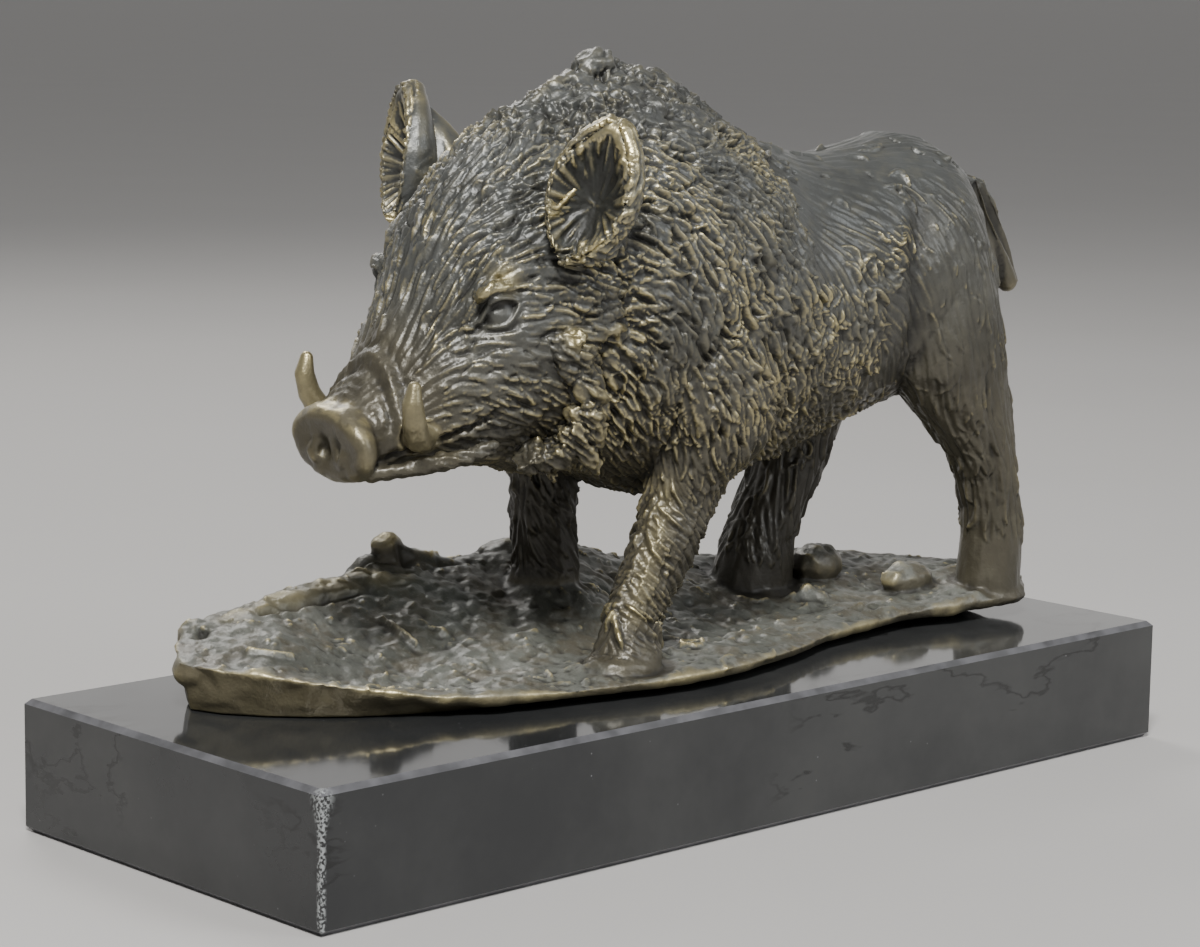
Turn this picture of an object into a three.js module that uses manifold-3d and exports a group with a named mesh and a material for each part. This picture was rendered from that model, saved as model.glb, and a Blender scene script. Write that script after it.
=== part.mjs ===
/**
 * A wild boar striding over rough ground, cast in bronze in one piece with that ground, on a
 * slab of polished black marble.
 *
 * Millimetres, +Z up. The origin is the middle of the slab's underside, where the piece stands.
 * The boar faces -X, so its left side is -Y.
 */
import * as THREE from 'three';
import { LoftGeometry } from 'three/addons/geometries/LoftGeometry.js';
import { ImprovedNoise } from 'three/addons/math/ImprovedNoise.js';
import { mergeVertices } from 'three/addons/utils/BufferGeometryUtils.js';
import Module from 'manifold-3d';

// ---------------------------------------------------------------- driving sizes

const SLAB = { length: 267, width: 105, height: 30, bevel: 1.2 };
const SEAT_GAP = 0.3; // the bronze stands this far off the marble, on its glue

// the plate of ground: its edge in plan, from the front round by the boar's left, each with the
// height of its top edge and how far its foot on the marble lies inside that edge
const RIM = [
  { at: [-115.5, 20], top: 41, inset: 3 },
  { at: [-107, 3], top: 40, inset: 3 },
  { at: [-92, -11], top: 37.5, inset: 3.5 },
  { at: [-72, -23], top: 34.8, inset: 6 },
  { at: [-40, -33], top: 34, inset: 9 },
  { at: [-8, -37], top: 34, inset: 11 },
  { at: [20, -33], top: 34, inset: 12 },
  { at: [48, -24], top: 34, inset: 10 },
  { at: [76, -22], top: 34.4, inset: 10 },
  { at: [104, -27], top: 35.4, inset: 14 },
  { at: [119, -24], top: 38, inset: 17 },
  { at: [124, -6], top: 38.6, inset: 17 },
  { at: [117, 15], top: 39, inset: 14 },
  { at: [98, 30], top: 40, inset: 10 },
  { at: [58, 39], top: 42, inset: 8 },
  { at: [10, 42], top: 47, inset: 6 },
  { at: [-40, 43], top: 48, inset: 5 },
  { at: [-80, 42], top: 46, inset: 5 },
  { at: [-102, 36], top: 44.5, inset: 4 },
];
const GROUND = {
  spokes: 54,
  rings: 12,
  level: 35, // height of the ground along the boar's left
  farRise: 15, // how much higher the ridge on its right stands in front, and half that behind
  tailRise: 4.5, // how much the plate lifts towards its tail end
  lip: 2, // thickness of the plate's edge
  undercut: 0.8, // how far the edge leans in below its top
  edgeFrom: 0.82, // share of the way out where the surface starts to meet the edge
  roughness: 1.3,
  clod: 13, // size of the lumps in the earth
};

// what rises from the ground or sinks into it: place, height and spread
const MOUNDS = [
  { at: [-72, 6], height: -4, spread: 20 },
  { at: [-48, 37], height: 3, spread: 8 },
  { at: [-6, 33], height: 4.5, spread: 13 },
  { at: [30, 0], height: -2, spread: 16 },
  { at: [64, -14], height: 2, spread: 5 },
];

// a broken stump on the far ridge, and two stones between the hind feet
const STUMP = [
  { at: [-46, 36, 44], radius: 8 },
  { at: [-44.5, 36, 51], radius: 5.5 },
  { at: [-45, 36, 55], radius: 3.6 },
  { at: [-46, 35.5, 58], radius: 2.8 },
];
const STONES = [
  { at: [76, 11, 42], size: [8, 6, 5.5] },
  { at: [92, -6, 38.5], size: [8.5, 5.5, 4.8] },
];

// fur is modelled as staggered locks lying along the body, raised towards their tips
const LOCK = { length: 15, width: 8.5, height: 1.5, sunk: 0.35 };
const COAT = { cheek: 0.8, flank: 0.35, leg: 0.6 }; // share of the shoulder's height elsewhere
const CREST = { from: 145, full: 160, height: 1.6, clump: 6 };

const BRONZE = { color: 0x4a4433, roughness: 0.42, metalness: 0.85 };
const MARBLE = { color: 0x17181a, roughness: 0.12, metalness: 0 };

// ---------------------------------------------------------------- stations
// A loft's station is one slice of a form: the two ends of the slice in the X-Z plane (a, b),
// its middle in Y, half its width, and how pinched (above 1) or square (below 1) the slice is
// towards each end.

// from the neck inside the head to the buttocks; a is the back, b the belly
const TORSO = [
  { a: [-44, 150], b: [-36, 88], half: 19, pinch: [1.3, 1] },
  { a: [-36, 159], b: [-30, 79], half: 26, pinch: [1.45, 0.9] },
  { a: [-22, 167], b: [-19, 74], half: 31, pinch: [1.5, 0.85] },
  { a: [-8, 169], b: [-6, 70], half: 32.5, pinch: [1.45, 0.85] },
  { a: [8, 164.5], b: [9, 69.5], half: 32.5, pinch: [1.3, 0.85] },
  { a: [24, 156.5], b: [25, 71.5], half: 31, pinch: [1.2, 0.9] },
  { a: [42, 149.5], b: [42, 76], half: 29.5, pinch: [1.05, 0.95] },
  { a: [58, 147.5], b: [59, 81], half: 28.5 },
  { a: [73, 149.5], b: [74, 84], half: 28 },
  { a: [88, 151.5], b: [88, 86], half: 27 },
  { a: [103, 146.5], b: [101, 89], half: 24.5 },
  { a: [112, 140], b: [110, 94], half: 19 },
  { a: [118, 132], b: [117, 101], half: 13 },
  { a: [121, 124], b: [121, 109], half: 6 },
];

// the head leans over to the left by this many degrees
const HEAD_LEAN = 4.5;

// from the nape to the flat disc of the snout; a is the brow line, b the jaw
const HEAD = [
  { a: [-22, 163], b: [-17, 79], half: 24, pinch: [1.4, 0.9] },
  { a: [-36, 160], b: [-29, 78], half: 28, pinch: [1.45, 0.9] },
  { a: [-46, 154.5], b: [-38, 79], half: 27.5, pinch: [1.25, 0.85] },
  { a: [-55.5, 146], b: [-46, 80.5], half: 25, pinch: [1.1, 0.85] },
  { a: [-62.5, 136], b: [-54, 81.5], half: 22.5, pinch: [1.1, 0.85] },
  { a: [-68, 125], b: [-62, 82], half: 19.5, pinch: [1.3, 0.8] },
  { a: [-72.5, 116], b: [-69, 82], half: 17, pinch: [1.5, 0.8] },
  { a: [-77.5, 108.5], b: [-75, 81.5], half: 14.5, pinch: [1.4, 0.8] },
  { a: [-82, 103], b: [-80.5, 81.5], half: 12.2, pinch: [1.2, 0.85] },
  { a: [-86.3, 98.6], b: [-84, 81.7], half: 10.8, pinch: [1.0, 0.85] },
  { a: [-88.4, 97.2], b: [-86.2, 80.8], half: 12.6, pinch: [0.85, 0.85] },
  { a: [-90.8, 96.4], b: [-88.6, 80.8], half: 12.8, pinch: [0.85, 0.85] },
  { a: [-91.8, 94.6], b: [-90, 82.4], half: 11, pinch: [0.85, 0.85] },
];

// each leg from inside the body to the foot; a is its front edge, b its back edge
const LEGS = {
  nearFore: [
    { a: [-22, 128], b: [26, 128], y: -14, half: 14 },
    { a: [-23, 112], b: [27, 112], y: -16, half: 16.5 },
    { a: [-18, 96], b: [25, 96], y: -18, half: 15.5 },
    { a: [-12.5, 84], b: [19.5, 84], y: -20, half: 12.5 },
    { a: [-13, 74], b: [11, 72], y: -21, half: 9.5 },
    { a: [-18, 63], b: [3, 60], y: -22, half: 8.5 },
    { a: [-24, 52], b: [-6, 48], y: -22.5, half: 7.5 },
    { a: [-28.5, 43], b: [-13.5, 40], y: -23, half: 7.5 },
    { a: [-32, 36], b: [-15, 33.5], y: -23.5, half: 8.5 },
    { a: [-33, 31.5], b: [-14, 31.5], y: -23.5, half: 8.5 },
  ],
  farFore: [
    { a: [-26, 112], b: [14, 112], y: 14, half: 15 },
    { a: [-24, 92], b: [6, 92], y: 16, half: 12 },
    { a: [-22, 76], b: [-3, 76], y: 17, half: 9 },
    { a: [-20.5, 63], b: [-4.5, 62], y: 17, half: 7.6 },
    { a: [-19.5, 52], b: [-3, 51], y: 17, half: 7.6 },
    { a: [-21, 46], b: [-3, 44], y: 17, half: 8.4 },
    { a: [-21, 36], b: [-3, 36], y: 17, half: 8.4 },
  ],
  farHind: [
    { a: [58, 118], b: [106, 118], y: 13, half: 14 },
    { a: [58, 98], b: [98, 98], y: 14, half: 13.5 },
    { a: [60, 84], b: [88, 86], y: 15, half: 11.5 },
    { a: [60, 72], b: [82, 73], y: 15, half: 9.5 },
    { a: [54, 60], b: [75, 61], y: 15, half: 8.6 },
    { a: [48, 48], b: [69, 50], y: 15, half: 8.2 },
    { a: [45, 41], b: [69, 42], y: 15, half: 9 },
    { a: [44.5, 35], b: [69.5, 35], y: 15, half: 9 },
  ],
  nearHind: [
    { a: [70, 132], b: [108, 132], y: -10, half: 14 },
    { a: [66, 116], b: [110, 118], y: -13, half: 15 },
    { a: [68, 102], b: [111, 104], y: -15, half: 14 },
    { a: [74, 91], b: [110, 94], y: -17, half: 12 },
    { a: [86, 80], b: [113, 83], y: -18, half: 9.5 },
    { a: [95, 70], b: [114.5, 74], y: -19, half: 8 },
    { a: [99.5, 60], b: [114.5, 61], y: -19, half: 7.2 },
    { a: [100.5, 50], b: [118, 51], y: -19, half: 7.4 },
    { a: [99.5, 42], b: [117, 42], y: -19, half: 7.8 },
    { a: [99, 34], b: [117.5, 34], y: -19, half: 8 },
  ],
};

const LEG_RINGS = { nearFore: 13, farFore: 9, farHind: 10, nearHind: 13 };

// a thing carried along a line of places, each with its radius there
const TUSK = [
  { at: [-74.5, 13.5, 91.5], radius: 2.6 },
  { at: [-79, 16.2, 92.2], radius: 3.2 },
  { at: [-81.2, 17.8, 96], radius: 3 },
  { at: [-82.2, 18.4, 100], radius: 2.6 },
  { at: [-81.8, 18.4, 103.8], radius: 1.5 },
];
const TAIL = [
  { at: [107.5, -7, 139.5], radius: 2.2 },
  { at: [111.5, -8.5, 138], radius: 3.1 },
  { at: [114, -9.5, 133.3], radius: 3.1 },
  { at: [117, -9.8, 127.5], radius: 2.9 },
  { at: [119.8, -9.5, 123], radius: 2.8 },
  { at: [122.2, -9, 118.3], radius: 2.6 },
  { at: [124.6, -8.5, 112.8], radius: 3 },
];

// an ear is a cupped leaf on a line from its root to its tip
const EAR = {
  root: [-44, 27.3, 131.5],
  tip: [-38, 34.5, 160.5],
  facing: [-0.93, 0.33, -0.15],
  halfWidth: 10.2,
  depth: 9.6,
  thickness: 3.2,
  rootShare: 0.08, // the outline is this stretch of half a sine wave
  tipShare: 0.97,
  roundness: 0.6,
  flattening: 0.8, // how much of the cup's depth is lost by the tip
};

// the fleshy back of an ear, from near its tip down into the head
const EAR_BACK = [
  { at: [-38, 32.5, 155.5], radius: 1.4 },
  { at: [-35.5, 28, 148], radius: 4.2 },
  { at: [-34.5, 24.5, 141.5], radius: 6.2 },
  { at: [-34, 20.5, 134], radius: 8 },
];

// the cheek's ruff: pointed tufts hanging from a line down behind the jaw
const RUFF = {
  line: [[-45, 25, 111], [-41, 26, 105], [-39, 26, 97], [-41, 23.5, 89], [-48, 19, 85]],
  tufts: 7,
  length: 8.5,
  unevenness: 0.25,
  radius: 4.2,
};

// small solid swellings: middle and half sizes, on the boar's right where they are paired
const BROW = { at: [-56.5, 18.2, 122.4], size: [7.5, 4, 3.4] };
const EYE = { at: [-59, 18, 118], size: [4, 3, 2.9] };
const NOSTRIL = { at: [-92, 4, 86.8], size: [3.4, 2, 2.8] };
const CREST_TUFT = { at: [-14.5, -1, 166.5], size: [6, 4.5, 5.4] };
const KNOB = { root: [-44.5, -24, 113], tip: [-44.5, -30.5, 114], radius: 3 };

// the mouth line, cut from beside the snout back to its corner under the cheek
const MOUTH = [
  { at: [-86, 10, 83.6], radius: 0.9 },
  { at: [-79, 15.3, 85.6], radius: 1.2 },
  { at: [-70, 18.4, 88], radius: 1.3 },
  { at: [-62, 21.2, 92.5], radius: 1.3 },
  { at: [-57, 23.2, 96.5], radius: 0.8 },
];

// ---------------------------------------------------------------- tools

const wasm = await Module();
wasm.setup();

/** The manifold of a closed geometry. */
function solid(geometry) {
  const bare = new THREE.BufferGeometry();
  bare.setAttribute('position', geometry.attributes.position);
  bare.setIndex(geometry.index);
  const merged = mergeVertices(bare, 1e-4);
  const vertProperties = new Float32Array(merged.attributes.position.array);
  const triVerts = new Uint32Array(merged.index.array);
  return new wasm.Manifold(new wasm.Mesh({ numProp: 3, vertProperties, triVerts }));
}

/** The geometry of a manifold, flat shaded. */
function geometryOf(manifold) {
  const mesh = manifold.getMesh();
  const geometry = new THREE.BufferGeometry();
  geometry.setAttribute('position', new THREE.BufferAttribute(mesh.vertProperties, 3));
  geometry.setIndex(new THREE.BufferAttribute(mesh.triVerts, 1));
  const flat = geometry.toNonIndexed();
  flat.computeVertexNormals();
  return flat;
}

const noise = new ImprovedNoise();

/** A smooth random value from -1 to 1 at a place, with features of the given size. */
function rough(x, y, z, size) {
  return noise.noise(x / size, y / size, z / size);
}

/** A curve through one value of every station. */
function curveOf(stations, pick) {
  const points = stations.map((station) => new THREE.Vector3(...pick(station)));
  return new THREE.CatmullRomCurve3(points);
}

/**
 * A closed form through slices given as stations. Each ring lies in the plane of its slice's
 * two ends and Y, and relief(point, along, around) lifts its points outwards.
 */
function slices(stations, { rings, sides, relief = () => 0 }) {
  const ends = {
    a: curveOf(stations, ({ a }) => [a[0], 0, a[1]]),
    b: curveOf(stations, ({ b }) => [b[0], 0, b[1]]),
  };
  const across = curveOf(stations, ({ y = 0, half }) => [y, half, 0]);
  const pinches = curveOf(stations, ({ pinch = [1, 1] }) => [pinch[0], pinch[1], 0]);
  const heart = curveOf(stations, ({ a, b }) => [(a[0] + b[0]) / 2, 0, (a[1] + b[1]) / 2]);
  const lengths = heart.getLengths(rings);
  const sections = [];
  for (let i = 0; i <= rings; i++) {
    const t = i / rings;
    const along = lengths[i];
    const middle = ends.a.getPoint(t).lerp(ends.b.getPoint(t), 0.5);
    const up = ends.a.getPoint(t).sub(middle);
    const { x: y, y: half } = across.getPoint(t);
    const { x: pinchA, y: pinchB } = pinches.getPoint(t);
    const turn = Math.sign(heart.getTangent(t).cross(up).y);
    const girth = Math.PI * (up.length() + half);
    const section = [];
    for (let j = 0; j < sides; j++) {
      const angle = (2 * Math.PI * j) / sides;
      const pinch = Math.cos(angle) > 0 ? pinchA : pinchB;
      const wide = Math.sign(Math.sin(angle)) * Math.abs(Math.sin(angle)) ** pinch;
      const out = up.clone().multiplyScalar(Math.cos(angle));
      out.y += turn * half * wide;
      const point = middle.clone().add(out);
      point.y += y;
      const around = (angle / (2 * Math.PI)) * girth;
      point.addScaledVector(out.normalize(), relief(point, along, around));
      section.push(point);
    }
    sections.push(section);
  }
  return solid(new LoftGeometry(sections, { closed: true, capStart: true, capEnd: true }));
}

/** A round form along a line of places, with a radius at each. */
function rope(places, { rings, sides }) {
  const line = curveOf(places, ({ at }) => at);
  const radii = curveOf(places, ({ radius }) => [radius, 0, 0]);
  const frames = line.computeFrenetFrames(rings);
  const sections = [];
  for (let i = 0; i <= rings; i++) {
    const centre = line.getPointAt(i / rings);
    const radius = radii.getPoint(i / rings).x;
    const section = [];
    for (let j = 0; j < sides; j++) {
      const angle = (2 * Math.PI * j) / sides;
      const point = centre.clone();
      point.addScaledVector(frames.normals[i], radius * Math.cos(angle));
      point.addScaledVector(frames.binormals[i], radius * Math.sin(angle));
      section.push(point);
    }
    sections.push(section);
  }
  return solid(new LoftGeometry(sections, { closed: true, capStart: true, capEnd: true }));
}

/** The same places on the other side of the boar. */
function mirrored(places) {
  return places.map(({ at, radius }) => ({ at: [at[0], -at[1], at[2]], radius }));
}

/** A ball squashed to three half sizes; side -1 puts it on the boar's left. */
function lump({ at: [x, y, z], size }, side = 1) {
  const ball = new THREE.SphereGeometry(1, 9, 5);
  ball.scale(...size);
  ball.translate(x, y * side, z);
  return solid(ball);
}

// ---------------------------------------------------------------- the boar

const { smoothstep, lerp, degToRad } = THREE.MathUtils;

/**
 * How far the locks of fur stand up at a place measured along and around the body. The locks lie
 * in rows that run along it, each row shifted against the next so that no two line up.
 */
function locks(along, around) {
  const row = Math.floor(around / LOCK.width);
  const shift = (row % 2) / 2 + Math.sin(row * 2.4) / 4;
  const down = along / LOCK.length + shift;
  const tip = down - Math.floor(down);
  const side = Math.abs((around / LOCK.width - row) * 2 - 1);
  return LOCK.height * (tip ** 1.5 * (1 - side ** 2) - LOCK.sunk);
}

function torso() {
  return slices(TORSO, {
    rings: 25,
    sides: 42,
    relief: (point, along, around) => {
      const flank = smoothstep(point.x, 20, 45);
      const crest = smoothstep(point.z, CREST.from, CREST.full) * (1 - flank);
      const bristles = CREST.height * crest * rough(point.x, point.y, point.z, CREST.clump);
      return locks(along, around) * lerp(1, COAT.flank, flank) + bristles;
    },
  });
}

function head() {
  return slices(HEAD, {
    rings: 21,
    sides: 30,
    relief: (point, along, around) => {
      return locks(along, around) * COAT.cheek * smoothstep(point.x, -72, -45);
    },
  });
}

function leg(name) {
  return slices(LEGS[name], {
    rings: LEG_RINGS[name],
    sides: 14,
    relief: (point, along, around) => {
      return locks(along, around) * COAT.leg * smoothstep(point.z, 42, 60);
    },
  });
}

/** One ear: crescent sections from root to tip, opening to the front and outwards. */
function ear(side) {
  const root = new THREE.Vector3(...EAR.root);
  const tip = new THREE.Vector3(...EAR.tip);
  const axis = tip.clone().sub(root).normalize();
  const facing = new THREE.Vector3(...EAR.facing);
  facing.addScaledVector(axis, -facing.dot(axis)).normalize();
  const across = axis.clone().cross(facing);
  const rows = 7;
  const arc = 8;
  const sections = [];
  for (let i = 0; i <= rows; i++) {
    const t = i / rows;
    const centre = root.clone().lerp(tip, t);
    const share = lerp(EAR.rootShare, EAR.tipShare, t);
    const width = EAR.halfWidth * Math.sin(Math.PI * share) ** EAR.roundness;
    const depth = EAR.depth * (1 - EAR.flattening * t);
    const section = [];
    for (const wall of [0, 1]) {
      const lift = wall * EAR.thickness;
      for (let j = 0; j <= arc; j++) {
        const sweep = (wall ? -1 : 1) * (j / arc - 0.5) * Math.PI;
        const point = centre.clone();
        point.addScaledVector(across, (width - lift / 3) * Math.sin(sweep));
        point.addScaledVector(facing, depth / 3 - depth * Math.cos(sweep) + lift);
        section.push(point);
      }
    }
    sections.push(section);
  }
  for (const section of sections) {
    for (const point of section) point.y *= side;
    if (side > 0) section.reverse();
  }
  return solid(new LoftGeometry(sections, { closed: true, capStart: true, capEnd: true }));
}

/** A short lock standing free of the coat, from its root to its point. */
function tuft(root, point, radius) {
  const middle = root.clone().lerp(point, 0.5);
  const places = [
    { at: root.toArray(), radius },
    { at: middle.toArray(), radius: radius * 0.85 },
    { at: point.toArray(), radius: radius * 0.2 },
  ];
  return rope(places, { rings: 3, sides: 5 });
}

/** The ruff behind one cheek. */
function ruff(side) {
  const line = new THREE.CatmullRomCurve3(RUFF.line.map((place) => new THREE.Vector3(...place)));
  const tufts = [];
  for (let i = 0; i < RUFF.tufts; i++) {
    const t = i / (RUFF.tufts - 1);
    const root = line.getPointAt(t);
    const length = RUFF.length * (1 + RUFF.unevenness * Math.sin(i * 2.1));
    const hang = new THREE.Vector3(1 + t, 0.7 * (1 - t), 3 * t - 4.5).setLength(length);
    const point = root.clone().add(hang);
    root.addScaledVector(hang, -0.4);
    root.y *= side;
    point.y *= side;
    tufts.push(tuft(root, point, RUFF.radius));
  }
  return tufts;
}

/** The head with its ears, eyes, tusks and ruff, leaning a little to the left. */
function wholeHead() {
  const forms = [head()];
  const hollows = [];
  for (const side of [1, -1]) {
    const own = side > 0 ? (places) => places : mirrored;
    forms.push(
      ear(side),
      rope(own(EAR_BACK), { rings: 4, sides: 6 }),
      rope(own(TUSK), { rings: 5, sides: 7 }),
      lump(BROW, side),
      lump(EYE, side),
      ...ruff(side),
    );
    hollows.push(rope(own(MOUTH), { rings: 6, sides: 5 }), lump(NOSTRIL, side));
  }
  forms.push(tuft(new THREE.Vector3(...KNOB.root), new THREE.Vector3(...KNOB.tip), KNOB.radius));
  const lean = Math.tan(degToRad(HEAD_LEAN));
  const whole = wasm.Manifold.union(forms).subtract(wasm.Manifold.union(hollows));
  return whole.transform(new THREE.Matrix4().makeShear(0, 0, 0, lean, 0, 0).elements);
}

function boar() {
  const tail = rope(TAIL, { rings: 7, sides: 8 });
  const legs = Object.keys(LEGS).map(leg);
  return wasm.Manifold.union([torso(), wholeHead(), ...legs, tail, lump(CREST_TUFT)]);
}

// ---------------------------------------------------------------- the ground

/** The ground's height away from its edge: level by the boar's left, rising to a far ridge. */
function groundHeight(x, y) {
  const far = GROUND.farRise * smoothstep(y, -15, 36) * lerp(1, 0.5, smoothstep(x, -5, 60));
  const tail = GROUND.tailRise * smoothstep(x, 78, 110);
  let z = GROUND.level + Math.max(far, tail);
  for (const { at, height, spread } of MOUNDS) {
    const distance = Math.hypot(x - at[0], y - at[1]) / spread;
    z += height * Math.exp(-(distance ** 2));
  }
  return z + GROUND.roughness * rough(x, y, 0, GROUND.clod);
}

/** The plate: its rough top, its edge, and its underside down to where it meets the marble. */
function ground() {
  const { spokes, rings } = GROUND;
  const plan = new THREE.CatmullRomCurve3(
    RIM.map(({ at, top }) => new THREE.Vector3(at[0], at[1], top)),
    true,
  );
  const insets = new THREE.CatmullRomCurve3(
    RIM.map(({ inset }, i) => new THREE.Vector3(inset, 0, i)),
    true,
  );
  const foot = SLAB.height + SEAT_GAP;
  const rays = [];
  for (let j = 0; j < spokes; j++) {
    const u = plan.getUtoTmapping(j / spokes);
    const rim = plan.getPoint(u);
    const inset = insets.getPoint(u).x;
    const inward = plan.getTangent(u).setZ(0).normalize();
    inward.set(-inward.y, inward.x, 0);
    const ray = [];
    for (let i = 1; i <= rings; i++) {
      const share = i / rings;
      const [x, y] = [rim.x * share, rim.y * share];
      const edge = smoothstep(share, GROUND.edgeFrom, 1);
      ray.push([x, y, lerp(groundHeight(x, y), rim.z, edge)]);
    }
    const under = rim.clone().addScaledVector(inward, GROUND.undercut);
    ray.push([under.x, under.y, rim.z - GROUND.lip]);
    const stand = rim.clone().addScaledVector(inward, inset);
    ray.push([stand.x, stand.y, foot]);
    rays.push(ray);
  }
  return solid(fan(rays, [0, 0, groundHeight(0, 0)], [0, 0, foot]));
}

/** A closed form of rays that run from a top centre out, over an edge and back underneath. */
function fan(rays, top, bottom) {
  const steps = rays[0].length;
  const positions = [...rays.flat(2), ...top, ...bottom];
  const topIndex = rays.length * steps;
  const bottomIndex = topIndex + 1;
  const index = [];
  for (let j = 0; j < rays.length; j++) {
    const here = j * steps;
    const next = ((j + 1) % rays.length) * steps;
    index.push(topIndex, here, next);
    index.push(bottomIndex, next + steps - 1, here + steps - 1);
    for (let i = 1; i < steps; i++) {
      index.push(here + i - 1, here + i, next + i);
      index.push(here + i - 1, next + i, next + i - 1);
    }
  }
  const geometry = new THREE.BufferGeometry();
  geometry.setAttribute('position', new THREE.Float32BufferAttribute(positions, 3));
  geometry.setIndex(index);
  return geometry;
}

/** The whole casting: the boar, its ground, and what stands on the ground. */
function bronze() {
  const stones = STONES.map((stone) => lump(stone));
  const stump = rope(STUMP, { rings: 5, sides: 7 });
  const casting = wasm.Manifold.union([boar(), ground(), stump, ...stones]);
  const mesh = new THREE.Mesh(geometryOf(casting), new THREE.MeshStandardMaterial(BRONZE));
  mesh.name = 'bronze_boar';
  return mesh;
}

// ---------------------------------------------------------------- the slab

function slab() {
  const { length, width, height, bevel } = SLAB;
  const outline = new THREE.Shape();
  outline.moveTo(-length / 2 + bevel, -width / 2 + bevel);
  outline.lineTo(length / 2 - bevel, -width / 2 + bevel);
  outline.lineTo(length / 2 - bevel, width / 2 - bevel);
  outline.lineTo(-length / 2 + bevel, width / 2 - bevel);
  outline.closePath();
  const geometry = new THREE.ExtrudeGeometry(outline, {
    depth: height - 2 * bevel,
    bevelThickness: bevel,
    bevelSize: bevel,
    bevelSegments: 1,
  });
  geometry.translate(0, 0, bevel);
  const mesh = new THREE.Mesh(geometry, new THREE.MeshStandardMaterial(MARBLE));
  mesh.name = 'marble_plinth';
  return mesh;
}

const sculpture = new THREE.Group();
sculpture.add(slab(), bronze());

export default sculpture;
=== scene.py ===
import math

import bmesh
import bpy
import numpy as np
from mathutils import Matrix, Vector, kdtree


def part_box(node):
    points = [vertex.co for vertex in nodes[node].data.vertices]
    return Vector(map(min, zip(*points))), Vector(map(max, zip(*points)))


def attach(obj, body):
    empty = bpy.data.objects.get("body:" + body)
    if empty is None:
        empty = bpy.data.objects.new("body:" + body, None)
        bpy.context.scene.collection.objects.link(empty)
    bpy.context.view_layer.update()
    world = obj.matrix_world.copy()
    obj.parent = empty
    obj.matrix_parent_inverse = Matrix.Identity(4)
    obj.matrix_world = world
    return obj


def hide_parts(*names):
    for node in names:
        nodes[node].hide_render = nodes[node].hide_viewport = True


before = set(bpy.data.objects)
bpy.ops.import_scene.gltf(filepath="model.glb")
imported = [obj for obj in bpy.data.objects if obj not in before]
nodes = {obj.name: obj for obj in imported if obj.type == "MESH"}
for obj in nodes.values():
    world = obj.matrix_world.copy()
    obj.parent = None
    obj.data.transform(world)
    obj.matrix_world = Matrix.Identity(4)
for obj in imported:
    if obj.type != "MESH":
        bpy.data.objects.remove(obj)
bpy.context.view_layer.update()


# ------------------------------------------------------------ the marble slab
# A sawn slab of black marble, polished on every face, with a narrow ground bevel that stays
# paler than the faces and is rubbed almost white on the front corner. The boar is glued on it.

class Sock:
    """A shader socket that can be written as arithmetic."""

    def __init__(self, tree, link):
        self.tree, self.link = tree, link

    def node(self, kind, settings=None, out=0, **inputs):
        made = self.tree.nodes.new("ShaderNode" + kind)
        for name, value in (settings or {}).items():
            if name == "stops":
                ramp = made.color_ramp
                while len(ramp.elements) < len(value):
                    ramp.elements.new(1.0)
                for element, (place, colour) in zip(ramp.elements, value):
                    element.position = place
                    element.color = (*colour, 1.0)
            else:
                setattr(made, name, value)
        for name, value in inputs.items():
            key = int(name[1:]) if name[0] == "i" and name[1:].isdigit() else name.replace("_", " ")
            socket = made.inputs[key]
            if isinstance(value, Sock):
                self.tree.links.new(value.link, socket)
            else:
                socket.default_value = value
        return Sock(self.tree, made.outputs[out])

    def math(self, operation, *values, clamp=False):
        made = {f"i{k}": v for k, v in enumerate(values)}
        return self.node("Math", {"operation": operation, "use_clamp": clamp}, **made)

    def __add__(self, other):
        return self.math("ADD", self, other)

    __radd__ = __add__

    def __sub__(self, other):
        return self.math("SUBTRACT", self, other)

    def __rsub__(self, other):
        return self.math("SUBTRACT", other, self)

    def __mul__(self, other):
        return self.math("MULTIPLY", self, other)

    __rmul__ = __mul__

    def __abs__(self):
        return self.math("ABSOLUTE", self)

    def clip(self):
        return self.math("ADD", self, 0.0, clamp=True)

    def step(self, low, high):
        """0 below low, 1 above high, smooth between."""
        return self.node("MapRange", {"interpolation_type": "SMOOTHSTEP"}, Value=self,
                         From_Min=low, From_Max=high, To_Min=0.0, To_Max=1.0)

    def mix(self, a, b):
        """Colour a where this is 0, colour b where it is 1."""
        a, b = [(*c, 1.0) if isinstance(c, tuple) else c for c in (a, b)]
        return self.node("Mix", {"data_type": "RGBA"}, out=2, i0=self, i6=a, i7=b)

    def grain(self, scale, detail=3.0, rough=0.5, out=0):
        """Noise at this place in space, with the given number of features per metre."""
        return self.node("TexNoise", out=out, Vector=self, Scale=scale, Detail=detail,
                         Roughness=rough)

    def parts(self):
        made = self.node("SeparateXYZ", Vector=self)
        return [Sock(self.tree, made.link.node.outputs[k]) for k in range(3)]


def new_material(name):
    """A material, its shader, and where a point lies in the object's own space."""
    made = bpy.data.materials.new(name)
    made.use_nodes = True
    tree = made.node_tree
    shader = tree.nodes["Principled BSDF"]
    place = Sock(tree, None).node("TexCoord", out="Object")
    return made, shader, place


def feed(shader, **inputs):
    for name, value in inputs.items():
        socket = shader.inputs[name.replace("_", " ")]
        if isinstance(value, Sock):
            value.tree.links.new(value.link, socket)
        else:
            socket.default_value = value


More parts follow.
